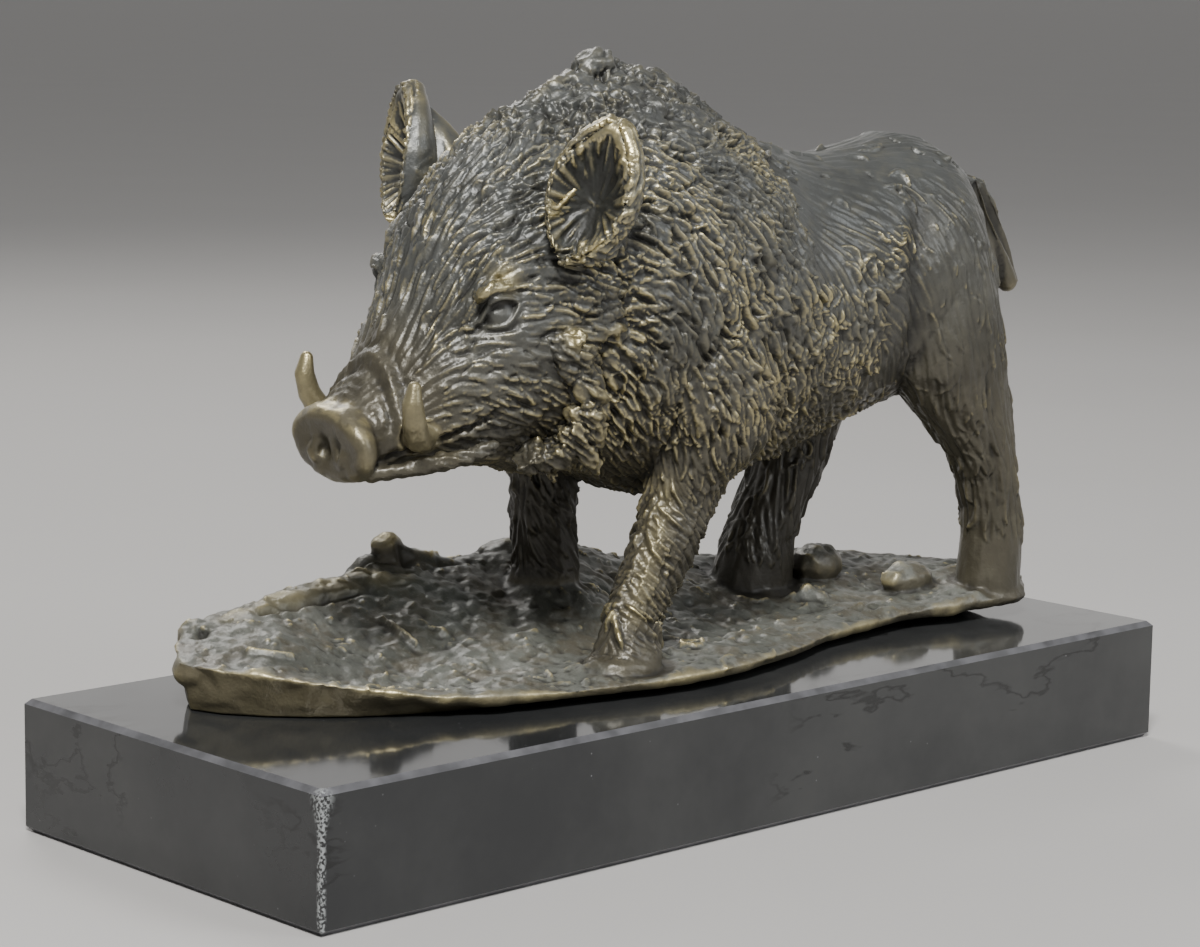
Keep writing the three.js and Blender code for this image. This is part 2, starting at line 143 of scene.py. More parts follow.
def marble_finish():
    material, shader, place = new_material("polished black marble")
    feed(shader, Specular_IOR_Level=0.5, IOR=1.5)
    warp = place.grain(22.0, detail=4.0, out="Color")
    drawn = place.node("VectorMath", {"operation": "MULTIPLY"}, i0=place, i1=(0.45, 0.8, 1.5))
    bent = place.node("VectorMath", {"operation": "MULTIPLY_ADD"}, i0=warp, i1=(0.010,) * 3,
                      i2=drawn)
    veins = abs(bent.grain(26.0, detail=5.0, rough=0.6) - 0.5)
    vein = (1.0 - veins.step(0.0, 0.016)) * place.grain(14.0, detail=2.0).step(0.5, 0.62)
    clouds = place.grain(9.0, detail=6.0, rough=0.65).step(0.35, 0.75)
    flecks = place.node("TexVoronoi", {"feature": "F1"}, Vector=place, Scale=330.0)
    fleck = (1.0 - flecks.step(0.03, 0.09)) * place.grain(60.0).step(0.56, 0.66)
    normal = place.node("NewGeometry", out="True Normal")
    across = normal.parts()
    facing = across[0].math("MAXIMUM", abs(across[0]),
                            across[0].math("MAXIMUM", abs(across[1]), abs(across[2])))
    bevel = 1.0 - facing.step(0.93, 0.985)
    x, y, z = place.parts()
    slab_low, slab_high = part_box("marble_plinth")
    from_corner = (x - slab_low.x) + (y - slab_low.y)
    corner = 1.0 - from_corner.step(0.0006, 0.0016 + 0.003 * z.step(0.02, 0.03))
    chipped = corner * place.grain(1500.0, detail=3.0).step(0.42, 0.6)
    stone = clouds.mix((0.020, 0.021, 0.022), (0.046, 0.047, 0.046))
    stone = (vein * 0.65).mix(stone, (0.003, 0.003, 0.003))
    stone = (fleck * 0.7).mix(stone, (0.22, 0.22, 0.23))
    ground_edge = bevel * (0.35 + 0.5 * place.grain(160.0).step(0.3, 0.7))
    stone = ground_edge.mix(stone, (0.13, 0.13, 0.14))
    stone = (chipped * 0.75).mix(stone, (0.40, 0.42, 0.42))
    polish = 0.055 + 0.05 * place.grain(35.0, detail=5.0) + 0.25 * bevel + 0.3 * chipped
    waves = place.node("Bump", Strength=0.04, Distance=0.0004, Height=place.grain(55.0, detail=2.0))
    feed(shader, Base_Color=stone, Roughness=polish, Normal=waves)
    return material


slab = nodes["marble_plinth"]
marble = marble_finish()
for k in range(max(1, len(slab.data.materials))):
    if slab.data.materials:
        slab.data.materials[k] = marble
    else:
        slab.data.materials.append(marble)


# ------------------------------------------------------------ the bronze casting
# The boar and the ground under it are one hollow bronze, joined from sections. The coat was
# modelled in wax with a small tool, stroke by stroke, and the metal is patinated dark and then
# rubbed back to gold on the high places. Sizes here are in mm.
# Painted shade darkens the recesses, thigh crease, nostrils, ear bowls and far legs as well.

MM = 0.001
FINE = 0.44  # grid on which the surface is modelled
LEAN = math.tan(math.radians(4.5))  # the head leans to its left
rng = np.random.default_rng(7)


def step(values, low, high):
    t = np.clip((values - low) / (high - low), 0.0, 1.0)
    return t * t * (3 - 2 * t)


def unit(vectors):
    return vectors / np.maximum(np.linalg.norm(vectors, axis=-1, keepdims=True), 1e-9)


def soft(gap, width):
    """1 where the gap is nothing, falling away over about the given width."""
    return np.exp(-((gap / width) ** 2))


def to_line(points, line):
    """Distance of each point from a line of places, and how far along it the foot lies (0-1)."""
    best = np.full(len(points), 1e9)
    share = np.zeros(len(points))
    line = np.asarray(line, float)
    for k, (a, b) in enumerate(zip(line[:-1], line[1:])):
        t = np.clip((points - a) @ (b - a) / ((b - a) @ (b - a)), 0, 1)
        far = np.linalg.norm(points - a - t[:, None] * (b - a), axis=1)
        nearer = far < best
        best[nearer] = far[nearer]
        share[nearer] = (k + t[nearer]) / (len(line) - 1)
    return best, share


def lumpy(points, size, seed):
    """Soft chance variation between -1 and 1, with lumps about this many millimetres across."""
    table = np.random.default_rng(seed).uniform(-1, 1, (32, 32, 32))
    whole = np.floor(points / size).astype(int)
    part_way = points / size - whole
    part_way = part_way * part_way * (3 - 2 * part_way)
    total = np.zeros(len(points))
    for corner in np.ndindex(2, 2, 2):
        weight = np.where(corner, part_way, 1 - part_way).prod(1)
        total += weight * table[tuple(((whole + corner) & 31).T)]
    return total


def leaning(place, side=1):
    """A place on the head's right as modelled upright, moved to the leaning head's given side."""
    x, y, z = place
    return np.array((x, y * side, z + y * side * LEAN))


def beads(line, radii, gap=0.8):
    """Balls along a line of places that melt into one rope."""
    line = np.asarray(line, float)
    made = []
    for a, b, ra, rb in zip(line[:-1], line[1:], radii[:-1], radii[1:]):
        count = max(2, int(np.linalg.norm(b - a) / gap))
        made += [(a + (b - a) * t, (ra + (rb - ra) * t,) * 3) for t in np.linspace(0, 1, count)]
    return made


class Skin:
    """The casting's surface as a fine net of points that can be pushed about."""

    def __init__(self, source, lumps, grid):
        form = bmesh.new()
        form.from_mesh(source.data)
        for centre, size in lumps:
            place = Matrix.Translation(Vector(centre) * MM) @ Matrix.Diagonal((*size, 1 / MM)) * MM
            bmesh.ops.create_icosphere(form, subdivisions=2, radius=1.0, matrix=place)
        self.object = bpy.data.objects.new("bronze", bpy.data.meshes.new("bronze"))
        form.to_mesh(self.object.data)
        form.free()
        bpy.context.scene.collection.objects.link(self.object)
        remesh = self.object.modifiers.new("net", "REMESH")
        remesh.mode, remesh.voxel_size = "VOXEL", grid * MM
        self.bake()
        mesh = self.object.data
        self.at = self.read(mesh.vertices, "co").reshape(-1, 3).astype(float) / MM
        self.ends = self.read(mesh.edges, "vertices").reshape(-1, 2)
        self.links = np.bincount(self.ends.ravel(), minlength=len(self.at))

    @staticmethod
    def read(items, name):
        width, kind = {"co": (3, np.float32), "normal": (3, np.float32),
                       "vertices": (2 if hasattr(items[0], "use_seam") else 3, np.int32)}[name]
        found = np.empty(len(items) * width, kind)
        items.foreach_get(name, found)
        return found

    def bake(self):
        graph = bpy.context.evaluated_depsgraph_get()
        made = bpy.data.meshes.new_from_object(self.object.evaluated_get(graph))
        self.object.modifiers.clear()
        self.object.data = made

    def write(self):
        self.object.data.vertices.foreach_set("co", (self.at * MM).astype(np.float32).ravel())
        self.object.data.update()

    def normals(self):
        self.write()
        return self.read(self.object.data.vertices, "normal").reshape(-1, 3).astype(float)

    def mean(self, values):
        """Each point's neighbours' mean of a value."""
        a, b = self.ends.T
        columns = values.reshape(len(values), -1)
        size = len(values)
        total = [np.bincount(a, c[b], size) + np.bincount(b, c[a], size) for c in columns.T]
        return (np.stack(total, 1) / self.links[:, None]).reshape(values.shape)

    def blur(self, values, reach):
        """A value smoothed over about this many millimetres."""
        for _ in range(max(1, int((reach / FINE) ** 2 * 2))):
            values = 0.5 * values + 0.5 * self.mean(values)
        return values

    def fair(self, reach, share):
        """Takes facets out of the surface without shrinking it; share is 0 where it stays."""
        for _ in range(max(1, int((reach / FINE) ** 2 * 2))):
            for pull in (0.6, -0.62):
                self.at += pull * share[:, None] * (self.mean(self.at) - self.at)


EAR_ROOT, EAR_TIP, EAR_FACING = (-44, 27.3, 131.5), (-38, 34.5, 160.5), (-0.93, 0.33, -0.15)
EAR_HALF_WIDTH, EAR_DEPTH, RIM_THICK, BOWL_DEEP = 10.2, 9.6, 2.9, 6.8
TUSK = [(-74.5, 13.5, 91.5), (-79, 16.2, 92.2), (-81.2, 17.8, 96), (-82.2, 18.4, 100),
        (-81.8, 18.4, 103.6)]
TAIL = [(105, -12.5, 139.5), (109.5, -12, 135), (113.5, -12, 128.5), (117, -11.5, 123),
        (120, -11, 118.3), (122.8, -10, 112.8)]
LOWER_LIP = [(-86, 10, 83.6), (-79, 15.3, 85.2), (-70, 18.4, 86.8), (-62, 20.8, 89.2)]

lumps = [
    ((-25, -24, 35.5), (10, 8.5, 4)), ((-12, 17, 36), (25, 20, 7.5)), ((-12, 17, 38), (19, 17, 9)),
    ((-12, 17, 40), (14.5, 13.5, 9.5)), ((57, 15, 35), (15, 12, 6)),
    ((109, -19, 35), (10.5, 9, 3)), ((-43.6, 36, 56.3), (3.2, 2.7, 2.2)),
    ((-110.5, 20.5, 38.5), (5, 6.5, 4)), ((-99, 33, 42), (7, 6, 5)),
]
lumps += beads([(104.5, -13.5, 139.5), (108.5, -13, 134.5), (112.5, -13, 128), (115.5, -12.5, 123),
                (118.5, -12, 118.5), (121.3, -11, 113.5)], (2.2, 2.7, 2.7, 2.6, 2.4, 2.9))
lumps += [((-39, 34, 46), (8, 4.5, 7)), ((-30, 32, 43), (10, 6, 6.5))]
lumps += beads([(-54, 37, 49.5), (-50.5, 37, 51.5), (-46, 36.5, 52)], (2.4, 2.6, 3))
lumps += beads([(-44, 36, 54), (-38, 35.5, 51.5), (-31, 34.5, 49), (-23, 32, 46), (-16, 28, 45)],
               (3.2, 3.2, 3.4, 4, 4))
for side in (1, -1):
    lumps += beads([leaning(p, side) for p in TUSK], (2.9, 3.1, 3.0, 2.6, 1.7))
    lumps += beads([leaning((x, y - 0.8, z), side) for x, y, z in LOWER_LIP], (1.7,) * 4)
    lumps.append((leaning((-89.4, 4, 87), side), (2.6, 3.2, 3.6)))
skin = Skin(nodes["bronze_boar"], lumps, FINE)
normal = skin.normals()
across = np.abs(skin.at[:, 1])

# where the legs stand on the ground: a line up the middle of each, its radius and its hoof's top
LEGS = {
    "near fore": ([(-24, -23.5, 32), (-17, -22.5, 47), (-6, -22, 62)], 10.0, 38),
    "far fore": ([(-12, 17, 42), (-11.5, 17, 54), (-12, 17, 66)], 9.5, 50),
    "far hind": ([(57, 15, 36), (60, 15, 50), (66, 15, 64)], 11.5, 47),
    "near hind": ([(108.2, -19, 34), (109, -19, 50), (107, -19, 64)], 9.5, 50),
}


def masks():
    """Which part of the casting each point belongs to, each from 0 to 1."""
    x, y, z = skin.at.T
    leg_gap = np.full(len(x), 1e9)
    hoof = np.zeros(len(x))
    for line, radius, top in LEGS.values():
        gap = to_line(skin.at, line)[0] - radius
        below = 1 - step(z, top - 1.0, top + 1.0)
        hoof = np.maximum(hoof, (1 - step(gap, 0.5, 2.5)) * below)
        leg_gap = np.minimum(leg_gap, gap)
    earth = (1 - step(z, 58, 61)) * step(leg_gap, 0.2, 1.6)
    stump = 1 - step(to_line(skin.at, [(-46, 36, 44), (-45, 36, 59)])[0], 6.5, 8)
    mound = 1 - step(to_line(skin.at, [(-12, 17, 36), (-12, 17, 44)])[0], 22, 24)
    earth = np.maximum(earth, np.maximum(stump, mound * (1 - step(z, 48, 50))))
    ear = np.zeros(len(x))
    tusk = np.zeros(len(x))
    for side in (1, -1):
        middle = [leaning(EAR_ROOT, side), leaning(EAR_TIP, side)]
        ear = np.maximum(ear, 1 - step(to_line(skin.at, middle)[0], 11.5, 13))
        own = [leaning(p, side) for p in TUSK]
        tusk = np.maximum(tusk, 1 - step(to_line(skin.at, own)[0], 3.5, 4.2))
    ear *= step(np.abs(y), 20, 23) * step(z, 129, 134)
    tail = (1 - step(to_line(skin.at, TAIL)[0], 4.4, 5.4)) * step(x, 104, 106)
    return {"hoof": hoof * (1 - earth), "earth": earth, "stump": stump, "ear": ear,
            "tusk": tusk, "tail": tail}


part = masks()
firm = np.clip(0.85 * part["ear"] + 0.8 * part["tusk"] + 0.6 * part["tail"], 0, 1)
ruff = np.zeros(len(skin.at))
for side in (1, -1):
    jaw = [leaning(p, side) for p in ((-44, 28, 110), (-40, 28, 100), (-42, 26, 90), (-50, 20, 83))]
    ruff = np.maximum(ruff, 1 - step(to_line(skin.at, jaw)[0], 6, 11))
skin.fair(2.0, 1 - firm)
skin.fair(1.0, firm)
skin.fair(3.0, np.maximum(ruff, (1 - step(skin.at[:, 2], 66, 80)) * step(skin.at[:, 2], 30.5, 32)))

# ---- the ears are worked twice over to a bowl with a thick soft rim
cup = np.zeros(len(skin.at))  # how deep in the hollow of an ear a point lies
from_cup = np.zeros_like(skin.at)
for side in (1, -1):
    root, tip = leaning(EAR_ROOT, side), leaning(EAR_TIP, side)
    length = np.linalg.norm(tip - root)
    axis = (tip - root) / length
    facing = np.array(EAR_FACING) * (1, side, 1)
    facing = unit(facing - axis * (facing @ axis))
    sideways = np.cross(axis, facing)
    for _ in range(2):
        off = skin.at - root
        t = off @ axis / length
        share = np.clip(0.08 + 0.89 * t, 0.02, 0.98)
        width = EAR_HALF_WIDTH * np.sin(np.pi * share) ** 0.6
        depth = EAR_DEPTH * (1 - 0.8 * np.clip(t, 0, 1))
        u = off @ sideways / width
        out = off @ facing
        inside = (normal @ facing > -0.1) * (np.abs(u) < 0.93) * (t > -0.1) * (t < 0.97)
        inside = inside * (out > -0.8 * depth) * (out < depth / 3 + 3.6)
        inside = inside * (skin.at[:, 1] * side > 15)
        ring = (u / 0.9) ** 2 + ((t - 0.40) / 0.58) ** 2
        sunk = np.clip(1 - ring, 0, 1) ** 1.25
        goal = depth / 3 + RIM_THICK - BOWL_DEEP * sunk
        raised = np.maximum(goal - out, 0) * (1 - step(ring, 0.9, 1.1))
        lift = np.where(inside & (ring < 1.1), raised, 0)
        lift = np.where(inside & (goal < out), goal - out, lift) * inside
        skin.at += lift[:, None] * facing
        cup = np.where(inside, np.maximum(cup, sunk), cup)
        over = (ring < 0.8) * (part["ear"] > 0.2) * (out + lift > goal) * (out < 14)
        skin.at += np.where(over, goal - out - lift, 0)[:, None] * facing
        skin.fair(1.0, part["ear"] * inside)
        normal = skin.normals()
    off = skin.at - root
    u = off @ sideways / width
    out = off @ facing
    heart = root + axis * length * 0.38
    fluted = (normal @ facing > -0.1) * (np.abs(u) < (0.9 if side > 0 else 1.2))
    fluted = fluted * (out > -0.8 * depth) * (out < depth)
    fluted = fluted * (skin.at[:, 1] * side > 15) * (part["ear"] > 0.2)
    from_cup += fluted[:, None] * unit(skin.at - heart)
skin.fair(2.3, part["ear"])
skin.fair(2.6, part["ear"] * from_cup.any(1))
normal = skin.normals()

tree = kdtree.KDTree(len(skin.at))
for k, place in enumerate(skin.at):
    tree.insert(place, k)
tree.balance()


def near(place, reach):
    return np.array([k for _, k, _ in tree.find_range(place, reach)], int)


def snap(place):
    """The surface's own point nearest to a place, and the way out of the surface there."""
    k = tree.find(place)[1]
    return skin.at[k].copy(), normal[k]


def trail(height, line, width, rise, fade=0.0, sides=(1, -1), head=False):
    """Raises (or with a negative rise cuts) the surface along a line laid on it."""
    for side in sides:
        own = [leaning(p, side) if head else np.array((p[0], p[1] * side, p[2])) for p in line]
        gap, share = to_line(skin.at, [snap(p)[0] for p in own])
        ends = np.clip(np.minimum(share, 1 - share) / max(fade, 1e-6), 0, 1) if fade else 1.0
        height += rise * ends * soft(gap, width)


def swell(height, place, size, rise, sides=(1, -1), head=False):
    """Raises a soft mound of the given half sizes."""
    for side in sides:
        own = leaning(place, side) if head else np.array((place[0], place[1] * side, place[2]))
        gap = np.linalg.norm((skin.at - own) / np.array(size), axis=1)
        height += rise * soft(gap, 1.0)


x, y, z = skin.at.T
earth, ear, tusk, hoof, tail = (part[k] for k in ("earth", "ear", "tusk", "hoof", "tail"))

# ---- the masses of the body: haunches, shoulders, cheeks and brows stand out, and the flanks,
# the groove behind each jaw, the near foreleg's back and the chest are cut back
BEHIND_THE_LEG = (0.73, -0.68, 0)  # the side of the near foreleg that is cut back
mass = np.zeros(len(x))
swell(mass, (86, 27, 118), (12, 12, 20), 1.4)
swell(mass, (80, 24, 99), (8, 9, 9), 1.0)
swell(mass, (38, 26, 136), (13, 14, 13), -2.4)
swell(mass, (108, 18, 126), (9, 10, 15), -5.0)
swell(mass, (116, -18, 84), (5, 8, 5), 1.2, sides=(1,))
swell(mass, (118, -19, 74), (5, 8, 5), -0.8, sides=(1,))
swell(mass, (119, -19, 58), (4, 7, 5), 1.3, sides=(1,))
swell(mass, (108, -27, 76), (7, 5, 9), -0.8, sides=(1,))
swell(mass, (50, 29, 108), (16, 14, 14), 1.3)
swell(mass, (2, 31, 122), (18, 12, 20), 1.2)
swell(mass, (-8, 29, 92), (9, 9, 11), 1.2)
swell(mass, (-52, 24, 103), (8, 9, 8), 1.5, head=True)
swell(mass, (-65, 20, 112), (6, 6, 4), -1.2, head=True)
swell(mass, (-75, 14, 99), (7, 6, 6), -1.0, head=True)
swell(mass, (-71, 0, 121), (7, 6, 10), -0.7, sides=(1,), head=True)
swell(mass, (-57, 16, 129), (5, 6, 4), 1.3, head=True)
swell(mass, (88, 0, 151), (9, 10, 6), 0.5, sides=(1,))
trail(mass, [(76, 20, 142), (73, 24, 134), (69, 27, 126), (68, 28.5, 117), (69.5, 27.5, 107),
             (70, 23.5, 98), (73, 16.5, 90)], 4.2, -2.3, fade=0.3)
trail(mass, [(-36, 28, 112), (-34, 27, 105), (-32.5, 25, 97), (-37, 25, 88), (-42, 20, 83)],
      3.0, -2.8, fade=0.1)
trail(mass, [(101, 16, 141), (105.5, 16.5, 134), (109.5, 16.5, 127), (113, 15.5, 119)], 1.4, -2.2,
      fade=0.1, sides=(-1,))
shank = [(-24, -23.5, 32), (-17, -22.5, 47), (-6, -22, 62), (6, -22, 80)]
fore = 1 - step(to_line(skin.at, shank)[0], 13, 17)
fore *= step(-y, 7, 11) * step(z, 38, 44) * (1 - step(z, 73, 84))
mass -= 3.8 * skin.blur(fore * step(normal @ BEHIND_THE_LEG, -0.4, 0.9), 3.0)
swell(mass, (-22, 0, 74), (12, 22, 7), -3.2, sides=(1,))
swell(mass, (-43, 17, 79), (9, 9, 5), -2.6, head=True)
trail(mass, [(-7, -26, 84), (-13, -26, 72), (-19, -26, 60), (-24, -27, 48)], 5.0, -0.9, sides=(1,))
trail(mass, [(92, 27, 96), (98, 26, 84), (101, 25.5, 72), (103, 25, 58)], 2.4, -0.8, fade=0.2,
      sides=(-1,))
skin.at += normal * (mass * (1 - earth) * (1 - ear))[:, None]
skin.fair(1.6, np.maximum(fore * (1 - earth), (1 - tail) * step(x, 96, 100) * step(z, 100, 108)))
normal = skin.normals()

# ---- the face: the line of the mouth, eyes under heavy lids, the snout's disc with its nostrils,
# the folds over the snout, and a collar of skin round each tusk
face = np.zeros(len(x))
eyes = np.zeros(len(x))
MOUTH = [(-83.5, 9.5, 87.3), (-79.2, 12.3, 88.6), (-71.5, 15.5, 90.8), (-64.2, 18.4, 94.2),
        (-58.6, 20.6, 97.6)]
trail(face, MOUTH, 0.75, -1.5, fade=0.1, head=True)
trail(face, [(x0, y0, z0 + 2.2) for x0, y0, z0 in MOUTH[1:]], 1.5, 0.5, fade=0.3, head=True)
trail(face, [(x0, y0, z0 - 2.4) for x0, y0, z0 in MOUTH[1:]], 1.5, 0.5, fade=0.3, head=True)
for side in (1, -1):
    centre, out = snap(leaning((-59.9, 20.7, 118.6), side))
    forward = np.array((-0.85, 0.0, -0.36))
    forward = unit(forward - out * (out @ forward))
    upward = np.cross(out, forward)
    upward *= np.sign(upward[2])
    about = near(centre, 14)
    a = (skin.at[about] - centre) @ forward
    b = (skin.at[about] - centre) @ upward
    slit = 2.25 * np.clip(1 - (np.abs(a + 0.3) / 4.6) ** 1.7, 0, 1)
    ball = 1.7 * np.clip(1 - (np.hypot(a + 0.2, b - 0.2) / 3.6) ** 2, 0, 1) - 0.7
    opening = step(slit - np.abs(b), -0.35, 0.55)
    along = np.clip(1 - (np.abs(a) / 5.6) ** 4, 0, 1)
    lid = 1.5 * soft(b - slit - 0.7, 0.85) * along
    lid += 0.75 * soft(b + slit + 0.45, 0.6) * along
    lid -= 0.7 * soft(b - slit - 2.1, 0.6) * along
    lid -= 0.45 * soft(b + slit + 1.9, 0.6) * along
    brow = 2.0 * soft(b - 5.4 + 0.06 * (a + 1) ** 2, 1.5) * soft(a, 6.0)
    brow *= 1.0 if side < 0 else 0.2
    corner = -1.0 * np.exp(-(((a - 5.2) / 1.5) ** 2 + ((b + 0.4) / 0.8) ** 2))
    socket = -1.5 * np.exp(-(((a - 0.5) / 6.5) ** 2 + ((b - 1.2) / 4.0) ** 2))
    face[about] += socket + np.where(opening > 0, opening * ball, 0) + (1 - opening) * lid
    face[about] += brow + corner
    eyes[about] = np.maximum(eyes[about], 1 - step(np.hypot(a / 5.6, (b - 0.3) / 4.0), 0.8, 1.3))
DISC_MIDDLE, DISC_HALF_WIDTH, DISC_HALF_HEIGHT = 88.6, 12.8, 7.9  # the disc of the snout
disc = step(-x, 86.0, 87.6) * (1 - earth)
middle_z = DISC_MIDDLE + y * LEAN
rim = np.hypot(y / DISC_HALF_WIDTH, (z - middle_z) / DISC_HALF_HEIGHT)
front = step(-normal[:, 0], 0.5, 0.8)
face += 0.3 * disc * soft(rim - 0.82, 0.25)
face -= 0.25 * disc * (1 - step(rim, 0.2, 0.75)) * front
face += disc * (0.25 * lumpy(skin.at, 4.0, 61) + 0.14 * lumpy(skin.at, 1.4, 62))
nostrils = np.zeros(len(x))
for middle, out_of in ((-3.5, -0.8), (1.5, -1.2)):
    hole = np.hypot((y - middle) / 1.35, (z - middle_z - out_of) / 2.2)
    nostrils = np.maximum(nostrils, disc * front * soft(hole, 1.0))
face -= 2.0 * nostrils
bridge = step(z, 90, 96) * (1 - step(z, 112, 116)) * (1 - tusk) * (1 - earth)
arch = 0.035 * across ** 1.6
fold = soft(x + 78.4 + arch, 1.1) * 0.75
fold -= soft(x + 80.6 + arch, 0.8) * 0.4 + soft(x + 76.2 + arch, 0.9) * 0.35
for place, rise in ((-82.4, 0.14), (-84.2, 0.12)):
    fold += soft(x - place + 0.6 * arch, 0.5) * rise
face += fold * bridge * (x < -72)
leather = (1 - step(x, -80, -66)) * step(z, 80, 84) * (1 - tusk)
face += leather * (0.10 * lumpy(skin.at, 1.5, 63) + 0.16 * lumpy(skin.at, 3.0, 64))
for side in (1, -1):
    base = leaning((-78.2, 15.5, 92), side)
    gap = np.linalg.norm(skin.at - base, axis=1)
    face += 1.1 * soft(gap - 4.6, 1.0) * (1 - tusk) * (z < base[2] + 4)
skin.at += normal * (face * (1 - ear))[:, None]
normal = skin.normals()

# ---- which kind of coat grows where
x, y, z = skin.at.T
upright = z - y * LEAN
bare = np.clip(hoof + earth + tusk + disc * (rim < 1.3) + tail, 0, 1)
furry = (1 - bare) * (1 - eyes) * (1 - ear)
muzzle = 1 - step(x, -80, -68)
head = (1 - step(x, -48, -38)) * step(z, 74, 78)
head *= 1 - step(x + 0.25 * (z - 110), -45, -38) * step(z, 112, 120) * 0.5
crest = step(z - 0.3 * np.abs(y), 141, 151) * (1 - step(x, 18, 38)) * (1 - step(-x, 36, 46))
legs = 1 - step(z, 70, 82)
near_fore = (1 - step(x, 14, 24)) * step(-y, 8, 12) * (1 - step(z, 80, 92)) * (1 - head)
mane_edge = 31 - 0.006 * (z - 112) ** 2 + 2.5 * np.sin(z * 0.55) + 1.5 * np.sin(z * 1.3 + y)
mane = (1 - step(x - mane_edge, -2, 2)) * (1 - head) * (1 - near_fore) * (1 - legs)
back = step(x - mane_edge, -2, 2) * step(z - 0.12 * (x - 30), 126, 136)
flank = step(x - mane_edge, -2, 2) * (1 - step(x, 68, 72)) * (1 - back) * (1 - legs)
rump = step(x, 68, 72) * (1 - back) * (1 - legs)
other_legs = legs * (1 - near_fore)
lift_mane = skin.blur(mane, 1.5) * (1 - earth) * (1 - head)
skin.at += normal * (0.9 * lift_mane)[:, None]
normal = skin.normals()

# how the coat grows: places on the boar's right with the way the hair lies there
GROWTH = [
    ((-84, 6, 100), (0.8, 0.1, 0.6)), ((-76, 12, 100), (0.95, 0.1, 0.3)),
    ((-72, 0, 116), (0.55, 0, 0.85)), ((-66, 0, 131), (0.5, 0.0, 0.87)),
    ((-66, 12, 124), (0.65, 0.2, 0.75)), ((-56, 14, 134), (0.7, 0.35, 0.6)),
    ((-68, 19, 106), (0.97, 0.2, 0.15)), ((-58, 23, 110), (0.95, 0.25, -0.1)),
    ((-50, 26, 118), (0.9, 0.25, 0.15)), ((-50, 26, 104), (0.85, 0.2, -0.45)),
    ((-44, 27, 95), (0.55, 0.15, -0.8)), ((-62, 20, 96), (0.9, 0.1, -0.35)),
    ((-66, 17, 84), (0.85, 0.0, -0.4)), ((-50, 20, 82), (0.75, 0.0, -0.65)),
    ((-46, 6, 155), (0.75, 0.1, 0.6)), ((-38, 18, 150), (0.85, 0.3, 0.1)),
    ((-30, 28, 125), (0.75, 0.15, -0.6)), ((-30, 28, 100), (0.45, 0.1, -0.9)),
    ((-10, 0, 169), (0.98, 0.0, -0.05)), ((-14, 20, 152), (0.8, 0.3, -0.45)),
    ((4, 30, 130), (0.6, 0.1, -0.8)), ((0, 31, 105), (0.5, 0.0, -0.87)),
    ((0, 25, 85), (0.35, 0.0, -0.95)), ((-30, 0, 80), (0.15, 0.0, -1.0)),
    ((25, 25, 145), (0.85, 0.1, -0.45)), ((30, 29, 115), (0.7, 0.0, -0.7)),
    ((30, 20, 85), (0.6, 0.0, -0.8)), ((50, 0, 148), (1, 0, 0)),
    ((55, 28, 120), (0.8, 0.0, -0.6)), ((60, 22, 95), (0.5, 0.0, -0.85)),
    ((85, 10, 150), (0.95, 0.1, -0.25)), ((78, 27, 128), (0.45, 0.0, -0.9)),
    ((90, 27, 115), (0.15, 0.0, -1.0)), ((112, 14, 125), (0.1, 0.1, -1.0)),
    ((118, 5, 110), (0.0, 0.0, -1.0)), ((100, 22, 95), (0.3, 0.0, -0.95)),
    ((98, 22, 75), (0.6, 0.0, -0.8)), ((105, 19, 60), (0.1, 0.0, -1.0)),
    ((-10, 27, 80), (0.35, 0.0, -0.94)), ((-4, 29, 70), (0.74, 0.0, -0.67)),
    ((-12, 29, 60), (0.74, 0.0, -0.67)), ((-18, 29, 48), (0.7, 0.0, -0.71)),
    ((66, 15, 65), (-0.25, 0.0, -0.97)), ((78, 16, 95), (0.1, 0.0, -1.0)),
]


def flat_way(ways, outs):
    return unit(ways - outs * (ways * outs).sum(1, keepdims=True))


flow = np.zeros_like(skin.at)
for spot, way in GROWTH:
    for side in (1, -1):
        on_head = spot[0] < -40
        here = leaning(spot, side) if on_head else np.array((spot[0], spot[1] * side, spot[2]))
        gap = np.linalg.norm(skin.at - here, axis=1)
        flow += unit(np.array((way[0], way[1] * side, way[2]))) / (gap[:, None] ** 3 + 60.0)
swirl = lumpy(skin.at, 15.0, 5)
flow = np.where(from_cup.any(1)[:, None], from_cup, flat_way(flow, normal))
flow = flat_way(flow, normal)
turn = 1.25 * swirl * (0.6 * crest + 0.55 * mane + 0.5 * flank + 0.2 * head) * (1 - ear)
beside = np.cross(normal, flow)
flow = flow * np.cos(turn)[:, None] + beside * np.sin(turn)[:, None]


